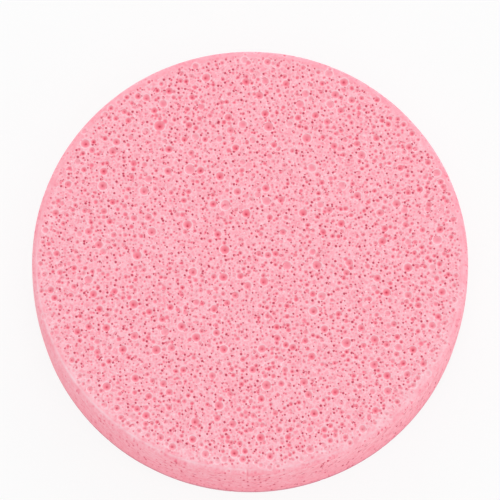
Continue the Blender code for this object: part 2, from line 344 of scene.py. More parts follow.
smallBowlShares = (
    (-0.514, 0.773, 0.73), (-0.614, 0.669, 0.63), (-0.558, 0.658, 0.68), (-0.665, 0.573, 0.58),
    (-0.723, 0.517, 0.63), (-0.565, 0.769, 0.58), (-0.639, 0.717, 0.63), (-0.577, 0.7, 0.6),
    (-0.542, 0.742, 0.48), (-0.558, 0.542, 0.45), (-0.567, 0.612, 0.43), (-0.439, 0.706, 0.68),
    (-0.414, 0.667, 0.48), (-0.28, 0.637, 0.73), (-0.248, 0.623, 0.58), (-0.265, 0.769, 0.73),
    (-0.206, 0.569, 0.63), (-0.3, 0.569, 0.68), (-0.319, 0.848, 0.53), (-0.408, 0.833, 0.5),
    (-0.289, 0.712, 0.63), (-0.066, 0.529, 0.75), (-0.269, 0.504, 0.68), (-0.183, 0.681, 0.58),
    (-0.323, 0.767, 0.48), (-0.325, 0.727, 0.45), (-0.431, 0.756, 0.45), (0.416, 0.706, 0.73),
    (0.221, 0.671, 0.73), (0.3, 0.683, 0.75), (0.081, 0.937, 0.73), (0.467, 0.812, 0.53),
    (0.11, 0.542, 0.65), (0.49, 0.548, 0.73), (0.335, 0.579, 0.58), (0.216, 0.862, 0.45),
    (0.244, 0.91, 0.55), (0.281, 0.827, 0.45), (0.137, 0.777, 0.45), (0.417, 0.61, 0.6),
    (0.331, 0.835, 0.6), (0.498, 0.719, 0.6), (0.314, 0.889, 0.5), (0.194, 0.515, 0.53),
    (0.583, 0.756, 0.63), (0.606, 0.658, 0.63), (0.704, 0.639, 0.58), (0.742, 0.596, 0.63),
    (0.579, 0.575, 0.73), (0.679, 0.589, 0.45), (0.567, 0.629, 0.53), (0.633, 0.64, 0.63),
    (0.512, 0.764, 0.53), (0.627, 0.527, 0.4), (0.565, 0.6, 0.38), (0.575, 0.512, 0.43),
    (-0.533, 0.427, 0.58), (-0.831, 0.356, 0.73), (-0.627, 0.273, 0.73), (-0.667, 0.229, 0.73),
    (-0.621, 0.117, 0.63), (-0.569, 0.117, 0.5), (-0.556, 0.333, 0.6), (-0.533, 0.456, 0.75),
    (-0.881, 0.031, 0.68), (-0.852, 0.171, 0.55), (-0.64, 0.181, 0.68), (-0.754, 0.231, 0.6),
    (-0.76, 0.425, 0.63), (-0.541, 0.392, 0.63), (-0.704, 0.273, 0.53), (-0.917, 0.075, 0.53),
    (-0.808, 0.235, 0.55), (-0.685, 0.171, 0.45), (-0.575, 0.464, 0.45), (-0.781, 0.014, 0.48),
    (-0.573, 0.254, 0.6), (-0.037, 0.421, 0.6), (-0.281, 0.321, 0.63), (-0.36, 0.318, 0.6),
    (-0.302, 0.279, 0.65), (-0.108, 0.173, 0.43), (0.333, 0.131, 0.73), (0.329, 0.365, 0.63),
    (0.15, 0.131, 0.73), (0.09, 0.2, 0.68), (0.165, 0.198, 0.58), (0.05, 0.121, 0.55),
    (0.04, 0.029, 0.63), (0.081, 0.023, 0.73), (0.117, 0.029, 0.68), (0.206, 0.023, 0.55),
    (0.437, 0.242, 0.58), (0.462, 0.21, 0.53), (0.26, 0.367, 0.43), (0.26, 0.267, 0.43),
    (0.312, 0.286, 0.43), (0.288, 0.138, 0.48), (0.687, 0.433, 0.73), (0.614, 0.148, 0.75),
    (0.775, 0.331, 0.7), (0.787, 0.142, 0.65), (0.71, 0.165, 0.73), (0.814, 0.319, 0.53),
    (0.817, 0.26, 0.7), (0.8, 0.388, 0.5), (0.723, 0.317, 0.68), (0.927, 0.19, 0.65),
    (0.871, 0.367, 0.63), (0.883, 0.344, 0.63), (0.917, 0.108, 0.58), (0.739, 0.171, 0.43),
    (0.712, 0.196, 0.45), (0.516, 0.119, 0.48), (0.583, 0.279, 0.45), (0.9, 0.018, 0.5),
    (0.643, 0.342, 0.58), (0.569, 0.325, 0.53), (0.541, 0.273, 0.53), (0.637, 0.456, 0.5),
    (0.569, 0.467, 0.53), (0.814, 0.46, 0.68), (0.764, 0.256, 0.48), (0.748, 0.033, 0.58),
    (0.808, 0.01, 0.55), (0.839, 0.019, 0.48), (0.885, 0.029, 0.55), (0.521, 0.231, 0.5),
    (0.898, 0.277, 0.6), (0.885, 0.292, 0.53), (-0.683, -0.229, 0.75), (-0.692, -0.429, 0.73),
    (-0.906, -0.14, 0.73), (-0.889, -0.177, 0.7), (-0.8, -0.039, 0.63), (-0.75, -0.039, 0.55),
    (-0.616, -0.146, 0.7), (-0.771, -0.262, 0.53), (-0.8, -0.125, 0.63), (-0.864, -0.06, 0.65),
    (-0.669, -0.064, 0.48), (-0.565, -0.079, 0.53), (-0.539, -0.127, 0.53), (-0.579, -0.177, 0.5),
    (-0.664, -0.489, 0.53), (-0.827, -0.316, 0.5), (-0.881, -0.314, 0.5), (-0.862, -0.219, 0.58),
    (-0.867, -0.283, 0.4), (-0.731, -0.273, 0.45), (-0.806, -0.467, 0.63), (-0.639, -0.473, 0.6),
    (-0.631, -0.165, 0.48), (-0.675, -0.177, 0.43), (-0.814, -0.165, 0.55), (-0.044, -0.075, 0.73),
    (-0.067, -0.165, 0.75), (-0.105, -0.202, 0.73), (-0.362, -0.221, 0.73), (-0.458, -0.242, 0.73),
    (-0.398, -0.277, 0.73), (-0.165, -0.079, 0.63), (-0.056, -0.369, 0.53), (-0.365, -0.04, 0.48),
    (-0.033, -0.463, 0.63), (-0.462, -0.362, 0.58), (-0.406, -0.081, 0.48), (-0.31, -0.163, 0.55),
    (-0.483, -0.048, 0.53), (0.438, -0.06, 0.73), (0.285, -0.16, 0.68), (0.121, -0.313, 0.68),
    (0.25, -0.377, 0.7), (0.402, -0.252, 0.68), (0.369, -0.265, 0.53), (0.079, -0.262, 0.58),
    (0.167, -0.215, 0.6), (0.169, -0.265, 0.55), (0.162, -0.396, 0.7), (0.485, -0.269, 0.43),
    (0.175, -0.327, 0.6), (0.104, -0.481, 0.48), (0.764, -0.212, 0.73), (0.729, -0.212, 0.48),
    (0.667, -0.36, 0.68), (0.619, -0.394, 0.73), (0.692, -0.481, 0.73), (0.854, -0.264, 0.73),
    (0.652, -0.3, 0.68), (0.542, -0.183, 0.63), (0.848, -0.087, 0.63), (0.785, -0.308, 0.58),
    (0.929, -0.119, 0.58), (0.862, -0.019, 0.58), (0.937, -0.073, 0.55), (0.515, -0.4, 0.63),
    (0.535, -0.029, 0.6), (0.575, -0.258, 0.5), (0.569, -0.294, 0.5), (0.664, -0.439, 0.6),
    (0.59, -0.173, 0.38), (0.762, -0.333, 0.58), (0.835, -0.415, 0.45), (0.808, -0.396, 0.43),
    (0.781, -0.108, 0.53), (0.796, -0.031, 0.55), (0.76, -0.031, 0.58), (-0.723, -0.602, 0.65),
    (-0.602, -0.689, 0.63), (-0.583, -0.733, 0.58), (-0.771, -0.54, 0.58), (-0.552, -0.76, 0.58),
    (-0.51, -0.692, 0.73), (-0.587, -0.56, 0.35), (-0.573, -0.61, 0.33), (-0.754, -0.577, 0.43),
    (-0.302, -0.512, 0.75), (-0.458, -0.635, 0.73), (-0.039, -0.579, 0.58), (-0.089, -0.625, 0.65),
    (-0.148, -0.735, 0.73), (-0.037, -0.721, 0.55), (-0.462, -0.815, 0.53), (-0.023, -0.887, 0.68),
    (-0.219, -0.858, 0.5), (-0.102, -0.842, 0.53), (-0.046, -0.852, 0.58), (-0.192, -0.673, 0.5),
    (-0.365, -0.687, 0.65), (-0.323, -0.658, 0.5), (-0.296, -0.658, 0.5), (-0.262, -0.667, 0.48),
    (-0.471, -0.762, 0.63), (-0.125, -0.821, 0.48), (-0.083, -0.508, 0.58), (-0.075, -0.537, 0.53),
    (-0.239, -0.517, 0.45), (-0.308, -0.817, 0.48), (-0.265, -0.612, 0.45), (-0.033, -0.515, 0.55),
    (-0.027, -0.658, 0.5), (-0.465, -0.533, 0.5), (-0.419, -0.754, 0.5), (-0.442, -0.562, 0.58),
    (0.069, -0.54, 0.58), (0.114, -0.712, 0.68), (0.335, -0.789, 0.68), (0.171, -0.823, 0.68),
    (0.131, -0.79, 0.73), (0.183, -0.787, 0.58), (0.431, -0.823, 0.63), (0.444, -0.731, 0.53),
    (0.362, -0.839, 0.58), (0.142, -0.577, 0.68), (0.158, -0.512, 0.68), (0.469, -0.54, 0.58),
    (0.496, -0.587, 0.63), (0.014, -0.723, 0.63), (0.179, -0.904, 0.5), (0.125, -0.627, 0.48),
    (0.185, -0.671, 0.48), (0.415, -0.765, 0.53), (0.385, -0.814, 0.53), (0.027, -0.939, 0.43),
    (0.364, -0.771, 0.55), (0.481, -0.679, 0.45), (0.712, -0.533, 0.73), (0.665, -0.66, 0.63),
    (0.758, -0.55, 0.58), (0.739, -0.583, 0.63), (0.587, -0.54, 0.45), (0.581, -0.515, 0.45),
    (0.565, -0.758, 0.48), (0.604, -0.654, 0.35),
)
smallDishShares = (
    (-0.762, 0.61, 0.63), (-0.546, 0.579, 0.65), (-0.665, 0.685, 0.65), (-0.025, 0.946, 0.73),
    (-0.25, 0.917, 0.7), (-0.223, 0.723, 0.75), (-0.14, 0.573, 0.75), (0.012, 0.565, 0.75),
    (0.181, 0.642, 0.7), (0.071, 0.846, 0.75), (0.758, 0.525, 0.63), (0.654, 0.529, 0.63),
    (-0.779, 0.123, 0.65), (-0.933, 0.14, 0.7), (-0.669, 0.039, 0.73), (-0.789, 0.463, 0.7),
    (-0.033, 0.462, 0.65), (-0.285, 0.113, 0.6), (0.285, 0.038, 0.73), (0.323, 0.26, 0.75),
    (0.037, 0.308, 0.73), (0.723, 0.34, 0.58), (0.721, 0.085, 0.7), (0.812, 0.239, 0.68),
    (-0.692, -0.381, 0.65), (-0.937, -0.264, 0.63), (-0.935, -0.067, 0.68), (-0.244, -0.198, 0.73),
    (0.138, -0.463, 0.73), (0.831, -0.035, 0.73), (0.564, -0.131, 0.68), (0.627, -0.308, 0.6),
    (0.958, -0.16, 0.58), (0.625, -0.25, 0.63), (-0.658, -0.675, 0.65), (-0.535, -0.729, 0.53),
    (-0.115, -0.925, 0.68), (-0.24, -0.562, 0.65), (0.331, -0.86, 0.58), (0.231, -0.925, 0.5),
    (0.219, -0.769, 0.63), (0.269, -0.788, 0.73), (0.031, -0.765, 0.65), (0.554, -0.612, 0.63),
    (0.806, -0.529, 0.6),
)

placedCells = {
    "fullRadius": 0.00086,
    "bowlDepthShare": 0.62,     # depth as a share of the mouth's radius
    "dishDepthShare": 0.4,
    "depthRange": (0.85, 1.15),
    "holeShare": 0.25,          # radius of the hole in a bowl's floor, as a share of its mouth
    "holeRange": (0.75, 1.2),
    "holeDriftShare": 0.25,
    "bowlTones": (0.35, 0.71),  # how strongly the cell's painted shade shows, from 0 to 1
    "dishTones": (0.1, 0.4),
    "seed": 3,
    "baseCount": 76,            # the base has its own cells, on a loosened sunflower spiral
    "baseLeastShare": 0.65,
    "baseDriftShare": 0.3,
    "baseSpotRadius": 0.004,
    "baseRimWidth": 0.0035,
    "baseDishedShare": 0.2,
    "baseSeed": 11,
}


def baseCells():
    # The same chance places as in the solid's base face, as two tables of shares
    look, chance = placedCells, random.Random(placedCells["baseSeed"])
    reach = discRadius - spongeDisc["edgeRadius"] - look["baseRimWidth"]
    spot, count = look["baseSpotRadius"], look["baseCount"]
    spread = reach ** 2 - spot ** 2
    drift = look["baseDriftShare"] * math.sqrt(math.pi * spread / count)
    bowls, dishes = [], []
    for i in range(count):
        filled = (i + 0.5) / count
        radius = math.sqrt(spot ** 2 + spread * filled)
        radius += drift * chance.uniform(0, 1) * (1 - filled)
        turn = i * math.pi * (3 - math.sqrt(5)) + drift * chance.uniform(-1, 1) / radius  # golden angle
        size = chance.uniform(look["baseLeastShare"], 1)
        kind = dishes if chance.random() < look["baseDishedShare"] else bowls
        kind.append((radius * math.cos(turn) / discRadius, radius * math.sin(turn) / discRadius, size))
    return tuple(bowls), tuple(dishes)


def placeCells(name, sides):
    # Bare points that carry what each cell looks like, for the tree to read
    look, rng = placedCells, np.random.default_rng(placedCells["seed"])
    rows = [(x, y, size, height, bowl) for bowls, dishes, height in sides
            for bowl, cells in ((1, bowls), (0, dishes)) for x, y, size in cells]
    table = np.array(rows)
    count, isBowl = len(table), table[:, 4] > 0.5
    radius = table[:, 2] * look["fullRadius"]
    turn = rng.uniform(0, 2 * np.pi, count)
    drift = rng.uniform(0, look["holeDriftShare"], count) * radius
    depthShare = np.where(isBowl, look["bowlDepthShare"], look["dishDepthShare"])
    mesh = bpy.data.meshes.new(name)
    mesh.from_pydata([(x * discRadius, y * discRadius, height) for x, y, size, height, bowl in rows], [], [])
    values = {
        "cellRadius": radius,
        "cellDepth": radius * depthShare * rng.uniform(*look["depthRange"], count),
        "cellTone": np.where(isBowl, rng.uniform(*look["bowlTones"], count),
                             rng.uniform(*look["dishTones"], count)),
        "holeRadius": radius * look["holeShare"] * isBowl * rng.uniform(*look["holeRange"], count),
        "holeShift": np.stack((drift * np.cos(turn), drift * np.sin(turn), np.zeros(count)), 1),
    }
    for key, value in values.items():
        markPoints(mesh, key, value)
    placed = addObject(name, mesh)
    placed.hide_render = True
    return placed


# Cells too small or too many to list one by one. Depths are shares of the mouth's radius

scatteredCells = {
    "medium": {"Spacing": 0.0008, "Count": 9.0e5, "Least Radius": 0.00022, "Most Radius": 0.00050,
               "Least Depth": 0.3, "Most Depth": 0.7, "Least Tone": 0.12, "Most Tone": 0.75, "Seed": 21},
    "small": {"Spacing": 0.00064, "Count": 1.6e6, "Least Radius": 0.00015, "Most Radius": 0.00028,
              "Least Depth": 0.3, "Most Depth": 0.7, "Least Tone": 0.2, "Most Tone": 0.9, "Seed": 22},
    "wall": {"Spacing": 0.0010, "Count": 6.0e5, "Least Radius": 0.00015, "Most Radius": 0.00040,
             "Least Depth": 0.3, "Most Depth": 0.6, "Least Tone": 0.15, "Most Tone": 0.75, "Seed": 23},
}

# How every cell is cut into the skin, and how the scattered ones vary

cellShape = {
    "Warp": 0.00022,        # a mouth strays from a true circle by up to half of this
    "Warp Scale": 800.0,
    "Mouth Power": 0.8,
    "Large Softness": 0.6,  # how gently a cell's painted shade sets in from its mouth
    "Small Softness": 0.8,
    "Large Depth Softness": 2.0,
    "Small Depth Softness": 1.2,
    "Hole Depth": 0.9,      # as a share of the hole's radius
    "Lip Width": 0.00018,   # painted highlight, a pale ring round each mouth
    "Least Lip": 0.25,      # how clear the smallest cell's ring is
    "Full Radius": 0.0008,  # of a cell with a clear ring
    "Clearance": 0.4,       # room beside a larger cell, as a share of the radius
    "Size Power": 1.5,      # above 1, small ones are the most common
    "Hole Share": 0.36,     # a hole's radius, as a share of its mouth's
    "Closed Share": 0.35,   # scattered cells that have no hole
    "Nick Depth": 0.00025,
    # painted shade in the nick
    "Nick Tone": 0.5,
    "Uneven": 0.00012,
    "Uneven Scale": 70.0,
}


def readField(tree, name, dataType="FLOAT"):
    node = put(tree, "GeometryNodeInputNamedAttribute", {"Name": name}, data_type=dataType)
    return node.outputs["Attribute"]


def storeField(tree, geometry, name, value):
    inputs = {"Geometry": geometry, "Name": name, "Value": value}
    return put(tree, "GeometryNodeStoreNamedAttribute", inputs, data_type="FLOAT", domain="POINT").outputs[0]


def sampleAt(tree, points, value, index, dataType="FLOAT"):
    inputs = {"Geometry": points, "Value": value, "Index": index}
    return put(tree, "GeometryNodeSampleIndex", inputs, data_type=dataType, domain="POINT").outputs[0]


def nearestPoint(tree, points, place):
    inputs = {"Geometry": points, "Sample Position": place}
    return put(tree, "GeometryNodeSampleNearest", inputs, domain="POINT").outputs[0]


def randomBetween(tree, least, most, seed):
    inputs = {2: least, 3: most, "Seed": seed}
    return put(tree, "FunctionNodeRandomValue", inputs, data_type="FLOAT").outputs[1]


def scatterTree():
    takes = {"Skin": "Geometry", "Bigger": "Geometry", "Seed": "Int",
             **floats("Share", "Spacing", "Count", "Least Radius", "Most Radius", "Least Depth", "Most Depth",
                      "Least Tone", "Most Tone", "Size Power", "Hole Share", "Closed Share", "Clearance")}
    tree, given, result = newTree("scatter_cells", "GeometryNodeTree", takes, {"Cells": "Geometry"})
    spread = put(tree, "GeometryNodeDistributePointsOnFaces",
                 {"Mesh": given["Skin"], "Distance Min": given["Spacing"], "Density Max": given["Count"],
                  "Density Factor": given["Share"], "Seed": given["Seed"]}, distribute_method="POISSON")
    skewed = calc(tree, "POWER", randomBetween(tree, 0.0, 1.0, given["Seed"]), given["Size Power"])
    span = calc(tree, "SUBTRACT", given["Most Radius"], given["Least Radius"])
    radius = calc(tree, "ADD", given["Least Radius"], times(tree, skewed, span))
    cells = storeField(tree, spread.outputs["Points"], "cellRadius", radius)
    radius = readField(tree, "cellRadius")
    depthShare = randomBetween(tree, given["Least Depth"], given["Most Depth"], 1)
    cells = storeField(tree, cells, "cellDepth", times(tree, depthShare, radius))
    tone = randomBetween(tree, given["Least Tone"], given["Most Tone"], 2)
    cells = storeField(tree, cells, "cellTone", tone)
    holed = calc(tree, "GREATER_THAN", randomBetween(tree, 0.0, 1.0, 4), given["Closed Share"])
    cells = storeField(tree, cells, "holeRadius", times(tree, radius, given["Hole Share"], holed))

    # No cell is left in the room that a larger one needs
    position = put(tree, "GeometryNodeInputPosition").outputs[0]
    bigger = nearestPoint(tree, given["Bigger"], position)
    there = sampleAt(tree, given["Bigger"], position, bigger, "FLOAT_VECTOR")
    reach = sampleAt(tree, given["Bigger"], radius, bigger)
    room = calc(tree, "ADD", reach, times(tree, radius, given["Clearance"]))
    away = vcalc(tree, "LENGTH", vcalc(tree, "SUBTRACT", position, there))
    kept = put(tree, "GeometryNodeDeleteGeometry",
               {"Geometry": cells, "Selection": calc(tree, "LESS_THAN", away, room)}, domain="POINT")
    return giveOut(tree, result, {"Cells": kept.outputs[0]})


def cellTree():
    # How deep each point of the skin is, and how much painted shade and painted highlight it takes, for the
    # nearest cell of one set
    takes = {"Cells": "Geometry", **floats("Warp", "Warp Scale", "Mouth Power", "Hole Depth", "Lip Width",
                                           "Least Lip", "Full Radius", "Softness", "Depth Softness")}
    gives = floats("Depth", "Pit", "Deep", "Hole", "Lip")
    tree, given, result = newTree("cell_shape", "GeometryNodeTree", takes, gives)
    position = put(tree, "GeometryNodeInputPosition").outputs[0]
    wave = noise(tree, position, given["Warp Scale"], 1.0)["Color"]
    wave = vcalc(tree, "SUBTRACT", wave, (0.5, 0.5, 0.5))
    place = vcalc(tree, "ADD", position, scaled(tree, wave, given["Warp"]))
    cells = given["Cells"]
    index = nearestPoint(tree, cells, place)
    radius, depth, tone, holeRadius = (sampleAt(tree, cells, readField(tree, name), index)
                                       for name in ("cellRadius", "cellDepth", "cellTone", "holeRadius"))
    holeShift = sampleAt(tree, cells, readField(tree, "holeShift", "FLOAT_VECTOR"), index, "FLOAT_VECTOR")

    def within(away):
        return oneMinus(tree, times(tree, away, away), clamp=True)

    offset = vcalc(tree, "SUBTRACT", place, sampleAt(tree, cells, position, index, "FLOAT_VECTOR"))
    distance = vcalc(tree, "LENGTH", offset)
    inside = within(calc(tree, "DIVIDE", distance, radius))
    bowl = times(tree, calc(tree, "POWER", inside, given["Mouth Power"]), depth)
    toHole = vcalc(tree, "LENGTH", vcalc(tree, "SUBTRACT", offset, holeShift))
    hole = within(calc(tree, "DIVIDE", toHole, calc(tree, "MAXIMUM", holeRadius, 1e-6)))
    holeDeep = times(tree, hole, holeRadius, given["Hole Depth"])
    lipWidth = given["Lip Width"]
    fromLip = calc(tree, "SUBTRACT", calc(tree, "SUBTRACT", distance, radius), times(tree, lipWidth, 0.5))
    lip = oneMinus(tree, calc(tree, "DIVIDE", calc(tree, "ABSOLUTE", fromLip), lipWidth), clamp=True)
    bigness = calc(tree, "DIVIDE", radius, given["Full Radius"])
    clear = calc(tree, "ADD", times(tree, bigness, oneMinus(tree, given["Least Lip"])), given["Least Lip"])
    return giveOut(tree, result, {
        "Depth": calc(tree, "ADD", bowl, holeDeep),
        "Pit": times(tree, calc(tree, "POWER", inside, given["Softness"]), tone),
        "Deep": times(tree, calc(tree, "POWER", inside, given["Depth Softness"]), tone),
        "Hole": times(tree, hole, tone),
        "Lip": times(tree, lip, clear),
    })


def joinAll(tree, *geometries):
    node = put(tree, "GeometryNodeJoinGeometry")
    for geometry in geometries:
        tree.links.new(geometry, node.inputs[0])
    return node.outputs[0]


def spongeTree(scatter, shape, material):
    takes = {"Skin": "Geometry", "Large Cells": "Object", "Small Cells": "Object", **floats(*cellShape)}
    tree, given, result = newTree("open_cells", "GeometryNodeTree", takes, {"Sponge": "Geometry"})

    def placed(name):
        node = put(tree, "GeometryNodeObjectInfo", {"Object": given[name]}, transform_space="ORIGINAL")
        return node.outputs["Geometry"]

    def scattered(name, share, bigger):
        passed = ("Skin", "Clearance", "Size Power", "Hole Share", "Closed Share")
        return callGroup(tree, scatter, {"Share": readField(tree, share), "Bigger": bigger,
                                         **{key: given[key] for key in passed}, **scatteredCells[name]})[0]

    large, small = placed("Large Cells"), placed("Small Cells")
    medium = scattered("medium", "faceShare", joinAll(tree, large, small))
    crowd = joinAll(tree, large, small, medium)
    sets = (large, small, medium, scattered("small", "faceShare", crowd),
            scattered("wall", "wallShare", crowd))
    shared = ("Warp", "Warp Scale", "Mouth Power", "Hole Depth", "Lip Width", "Least Lip", "Full Radius")
    totals = {}
    for cells in sets:
        size = "Large " if cells is large else "Small "
        inputs = {key: given[key] for key in shared}
        inputs.update({key: given[size + key] for key in ("Softness", "Depth Softness")})
        found = callGroup(tree, shape, {"Cells": cells, **inputs})
        for key in ("Depth", "Pit", "Deep", "Hole", "Lip"):
            totals[key] = calc(tree, "MAXIMUM", totals[key], found[key]) if key in totals else found[key]

    # The nick takes painted shade, and a painted highlight beside it
    nick = readField(tree, "nick")
    totals["Deep"] = calc(tree, "MAXIMUM", totals["Deep"], times(tree, nick, given["Nick Tone"]))
    totals["Lip"] = calc(tree, "MAXIMUM", totals["Lip"], readField(tree, "nickLip"))
    position = put(tree, "GeometryNodeInputPosition").outputs[0]
    wave = noise(tree, position, given["Uneven Scale"], 2.0)["Fac"]
    unevenly = times(tree, wave, readField(tree, "wallShare"), given["Uneven"])
    depth = calc(tree, "ADD", totals["Depth"], times(tree, nick, given["Nick Depth"]))
    depth = calc(tree, "ADD", depth, unevenly)
    # The cells' painted shade and painted highlights are kept on the skin for the material
    marked = given["Skin"]
    for key in ("Pit", "Deep", "Hole", "Lip"):
        marked = storeField(tree, marked, key.lower(), totals[key])
    normal = put(tree, "GeometryNodeInputNormal").outputs[0]
    sunk = scaled(tree, normal, times(tree, depth, -1.0))
    shaped = put(tree, "GeometryNodeSetPosition", {"Geometry": marked, "Offset": sunk}).outputs[0]
    real = put(tree, "GeometryNodeRealizeInstances", {"Geometry": shaped}).outputs[0]
    dressed = put(tree, "GeometryNodeSetMaterial", {"Geometry": real, "Material": material}).outputs[0]
    return giveOut(tree, result, {"Sponge": dressed})


def openCells(sponge, material):
    large = placeCells("large_cells", ((bowlCellShares, dishCellShares, discHeight), (*baseCells(), 0)))
    small = placeCells("small_cells", ((smallBowlShares, smallDishShares, discHeight),))
    tree = spongeTree(scatterTree(), cellTree(), material)
    cut = sponge.modifiers.new("open_cells", "NODES")
    cut.node_group = tree
    settings = {"Large Cells": large, "Small Cells": small, **cellShape}
    for item in tree.interface.items_tree:
        if item.in_out == "INPUT" and item.name in settings:
            cut[item.identifier] = settings[item.name]
    graph = bpy.context.evaluated_depsgraph_get()
    evaluated = sponge.evaluated_get(graph)
    shaped = bpy.data.meshes.new_from_object(evaluated, preserve_all_data_layers=True, depsgraph=graph)
    sponge.modifiers.clear()
    sponge.data = shaped
    shaped.name = "sponge"
    shaped.shade_smooth()
    for helper in (large, small):
        bpy.data.objects.remove(helper)
    print("cells opened,", len(shaped.polygons), "faces")


# Foam colour, with painted shade in the cells and pinholes and painted highlights round them

foamLook = {
    "web": (1.0, 0.456, 0.538),
    "farWeb": (1.0, 0.422, 0.505),     # the far side is a little deeper in colour
    "rim": (1.0, 0.57, 0.64),          # web near the outline
    "webShade": (0.965, 0.295, 0.38),  # painted shade of cells too fine for the mesh, and random mottling
    "lip": (1.0, 0.74, 0.8),           # painted highlight round an open cell's mouth, and along the crease at the edge
    # The wall, darker towards the bottom: painted shade near the floor
    "wallTop": (1.0, 0.54, 0.608),
    "wallLow": (0.985, 0.372, 0.45),
    "wallShade": (0.935, 0.222, 0.302),
    "footShadow": (0.62, 0.19, 0.255),   # painted contact shadow where the wall turns under
    # Painted shade inside the cells, over their real depth: mid pink in a bowl, deeper pink towards its
    # floor, near black in its hole and in a pinhole
    "bowl": (1.0, 0.3, 0.385),
    "deep": (0.93, 0.125, 0.21),
    "hole": (0.58, 0.026, 0.09),
    "pin": (0.44, 0.014, 0.056),
}

foamShader = {
    "Roughness": 0.92,
    "Specular IOR Level": 0.2,
    "Sheen Weight": 0.15,  # thin cell walls catch the light where the foam turns away
    "Sheen Roughness": 0.4,
    "Sheen Tint": (1.0, 0.80, 0.86, 1.0),
}

# Bubbles too fine for the mesh: how many to a metre, and the largest radius as a share of their spacing
bubbleLook = {
    "pale": {"Scale": 780.0, "Reach": 0.44},
    "fine": {"Scale": 1500.0, "Reach": 0.56},
    "pin": {"Scale": 700.0, "Reach": 0.22},
    "wallPin": {"Scale": 1000.0, "Reach": 0.30},
    "streak": {"Scale": 600.0, "Reach": 0.32},
}

# Noise: its scale, the level above which it shows, and how fast it sets in there
cloudLook = {
    "cloud": (480.0, 0.40, 3.0),
    "grain": (2200.0, 0.38, 3.0),
    # painted glints, pale specks on the face
    "paintedGlint": (2200.0, 0.51, 5.0),
    "wideGap": (260.0, 0.35, 3.0),  # both gaps break up the crease at the edge
    "fineGap": (2200.0, 0.35, 3.0),
}

# Where each of these shows, and how strongly
maskLook = {
    "wallPower": 3.0,                # how late the round at the edge takes on the wall's finish
    "rimFade": 0.55,                 # how much the cells fade towards the outline
    "cellFade": 4.0,                 # how fast the finish between the cells fades into them
    "leastBubble": 0.5,              # smallest bubble, as a share of the largest
    "palePower": 0.5,
    "paleShare": 0.48,
    "paleLipShare": 0.5,
    "finePower": 0.7,
    "fineShare": 0.64,
    "fineOnWall": 0.5,               # fine cells on the wall, against those on the faces
    "cloudDetail": 3.0,
    "cloudRoughness": 0.65,
    "cloudShare": 0.7,
    "grainShare": 0.4,
    "sideShift": (5.0, 3.0, 0.0),    # keeps the two faces' pinholes unlike
    # painted glints sit this far to one side of the face's pinholes
    "glintShift": (0.00016, 0.00010, 0.0),
    "wallSquash": 0.34,              # pinholes of the wall stand taller than they are wide
    "streakStretch": 2.6,
    "streakLine": (0.0, -0.766, 0.643),
    "streakSide": (0.8, -0.6, 0.0),  # where the wall has the most streaks and pinholes
    "streakSpan": 1.6,               # how far round they thin out, as a share of the radius
    "streakMiddle": 0.45,
    "leastPins": 0.3,                # pinholes where the wall has the fewest
    "wallLipFade": 0.6,
    "lipShare": 0.9,
    "creaseShare": 0.6,
    "creaseLeast": 0.3,
    "creaseFineLeast": 0.4,
    "creaseGain": 1.9,
    "creaseSideFade": 0.7,           # how much of the crease the streaked side lacks
    "holePower": 0.8,
    "pinShadeRingPower": 0.35,           # painted shade of a pinhole: its deep pink surround, and its dark middle
    "pinShadeRingShare": 0.85,
    "pinPower": 1.8,
    # painted contact shadow at the bottom of the wall: its height and strength
    "footShadowHeight": 0.0028,
    "footShadowGain": 1.8,
    "bumpDepth": 0.00003,
}


def bubbleGroup(name, dimensions):
    # Round bubbles, cut where the surface runs, or in two dimensions all at their middle
    tree, given, result = newTree(name, "ShaderNodeTree", {"Place": "Vector", **floats("Scale", "Reach")},
                                  floats("Inside", "Lip"))
    bubbles = put(tree, "ShaderNodeTexVoronoi", {"Vector": given["Place"], "Scale": given["Scale"]},
                  feature="F1", voronoi_dimensions=dimensions)
    chance = put(tree, "ShaderNodeSeparateColor", {"Color": bubbles.outputs["Color"]}).outputs[0]
    size = times(tree, given["Reach"], raised(tree, chance, maskLook["leastBubble"]))
    away = calc(tree, "DIVIDE", bubbles.outputs["Distance"], size)
    inside = oneMinus(tree, times(tree, away, away), clamp=True)
    fromLip = calc(tree, "ABSOLUTE", calc(tree, "SUBTRACT", away, 1.5))  # the lip runs from 1 to 2 radii
    lip = oneMinus(tree, calc(tree, "DIVIDE", fromLip, 0.5), clamp=True)
    return giveOut(tree, result, {"Inside": inside, "Lip": lip})


def field(tree, name):
    return put(tree, "ShaderNodeAttribute", attribute_name=name).outputs["Fac"]


def cloud(tree, name, where):
    scale, level, gain = cloudLook[name]
    waves = noise(tree, where, scale, maskLook["cloudDetail"], maskLook["cloudRoughness"])["Fac"]
    return calc(tree, "MULTIPLY", calc(tree, "SUBTRACT", waves, level), gain, clamp=True)


def mixColour(tree, factor, first, second):
    first, second = (c if isinstance(c, bpy.types.NodeSocket) else (*c, 1) for c in (first, second))
    node = put(tree, "ShaderNodeMix", {0: factor, 6: first, 7: second}, data_type="RGBA", clamp_factor=True)
    return node.outputs[2]


